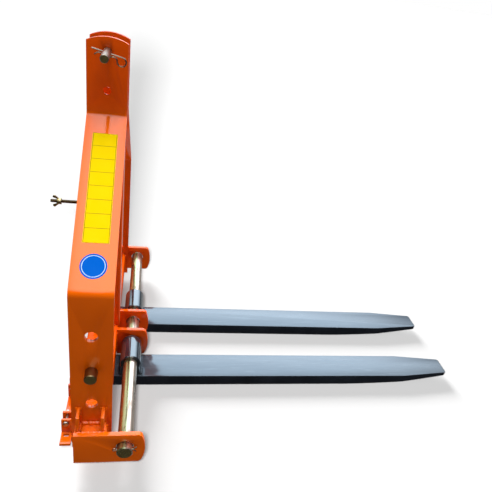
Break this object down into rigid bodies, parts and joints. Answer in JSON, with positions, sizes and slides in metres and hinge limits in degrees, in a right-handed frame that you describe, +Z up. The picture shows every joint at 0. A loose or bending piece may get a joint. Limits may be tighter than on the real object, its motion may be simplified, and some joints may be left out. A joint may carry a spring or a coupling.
{
  "type": "pallet fork attachment",
  "caption": "Three-point-hitch pallet fork frame: bent straps and a post on a beam, with flat fork blades that slide and fold up on a cross shaft.",
  "frame": {"origin": "on the ground under the middle of the whole object: the undersides of the blades are at z 0, the frame's centre plane is y 0, and the straps stand at x -415 mm", "axes": "+X to the fork tips, +Z up, -Y to the right-hand side of a person behind the frame who looks towards the tips"},
  "size_m": [1.078, 0.784, 0.807],
  "materials": {
    "orange_paint": "glossy orange powder coat",
    "black_paint": "glossy blue-black paint",
    "yellow_zinc": "yellow passivated zinc plate",
    "white_zinc": "bright zinc plate",
    "brassy_zinc": "yellow zinc plate"
  },
  "bodies": {
    "frame": {"lower_beam": "orange_paint", "centre_post": "orange_paint", "right_strap": "orange_paint", "right_beam_stub": "orange_paint", "right_end_lug": "orange_paint", "right_mid_lug": "orange_paint", "right_rear_gusset": "orange_paint", "right_front_gusset": "orange_paint", "right_bracket_plate": "orange_paint", "right_inner_ear_near": "orange_paint", "right_inner_ear_far": "orange_paint", "right_inner_ear_bolt": "white_zinc", "right_inner_ear_nut": "white_zinc", "right_outer_ear_near": "orange_paint", "right_outer_ear_far": "orange_paint", "right_outer_ear_bolt": "white_zinc", "right_outer_ear_nut": "white_zinc", "right_lower_pin": "yellow_zinc", "right_lower_pin_washer": "yellow_zinc", "right_lower_pin_nut": "yellow_zinc", "left_strap": "orange_paint", "left_beam_stub": "orange_paint", "left_end_lug": "orange_paint", "left_mid_lug": "orange_paint", "left_rear_gusset": "orange_paint", "left_front_gusset": "orange_paint", "left_bracket_plate": "orange_paint", "left_inner_ear_near": "orange_paint", "left_inner_ear_far": "orange_paint", "left_inner_ear_bolt": "white_zinc", "left_inner_ear_nut": "white_zinc", "left_outer_ear_near": "orange_paint", "left_outer_ear_far": "orange_paint", "left_outer_ear_bolt": "white_zinc", "left_outer_ear_nut": "white_zinc", "left_lower_pin": "yellow_zinc", "left_lower_pin_washer": "yellow_zinc", "left_lower_pin_nut": "yellow_zinc", "rear_stud": "brassy_zinc", "rear_stud_outer_nut": "brassy_zinc", "rear_stud_inner_nut": "brassy_zinc"},
    "shaft": {"fork_shaft": "yellow_zinc", "right_shaft_cotter": "white_zinc", "left_shaft_cotter": "white_zinc"},
    "top_pin": {"top_link_pin": "white_zinc", "top_pin_clip": "white_zinc"},
    "right_fork_carrier": {"right_fork_eye_tube": "black_paint"},
    "right_fork": {"right_fork_saddle": "black_paint", "right_fork_blade": "black_paint"},
    "left_fork_carrier": {"left_fork_eye_tube": "black_paint"},
    "left_fork": {"left_fork_saddle": "black_paint", "left_fork_blade": "black_paint"},
    "wing_washer": {"wing_nut_washer": "brassy_zinc"},
    "wing_nut": {"wing_nut": "brassy_zinc"}
  },
  "joints": [
    {"name": "right_fork_slide", "type": "slide", "parent": "frame", "child": "right_fork_carrier", "axis": [0, 1, 0], "range_m": [-0.234, 0.0045]},
    {"name": "right_fork_fold", "type": "hinge", "parent": "right_fork_carrier", "child": "right_fork", "pos_m": [-0.346, -0.0935, 0.07], "axis": [0, -1, 0], "range_deg": [0, 90]},
    {"name": "left_fork_slide", "type": "slide", "parent": "frame", "child": "left_fork_carrier", "axis": [0, 1, 0], "range_m": [-0.032, 0.2145]},
    {"name": "left_fork_fold", "type": "hinge", "parent": "left_fork_carrier", "child": "left_fork", "pos_m": [-0.346, 0.113, 0.07], "axis": [0, -1, 0], "range_deg": [0, 90]},
    {"name": "fork_shaft_spin", "type": "hinge", "parent": "frame", "child": "shaft", "pos_m": [-0.346, 0, 0.07], "axis": [0, 1, 0], "continuous": true},
    {"name": "top_pin_spin", "type": "hinge", "parent": "frame", "child": "top_pin", "pos_m": [-0.415, 0, 0.78], "axis": [0, 1, 0], "continuous": true},
    {"name": "wing_nut_travel", "type": "slide", "parent": "frame", "child": "wing_washer", "axis": [-1, 0, 0], "range_m": [0, 0.0125]},
    {"name": "wing_nut_spin", "type": "hinge", "parent": "wing_washer", "child": "wing_nut", "pos_m": [-0.5215, 0, 0.438], "axis": [-1, 0, 0], "range_deg": [0, 3600]}
  ],
  "couplings": [
    {"joint": "wing_nut_travel", "follows": "wing_nut_spin", "m_per_rad": 0.00019894}
  ]
}
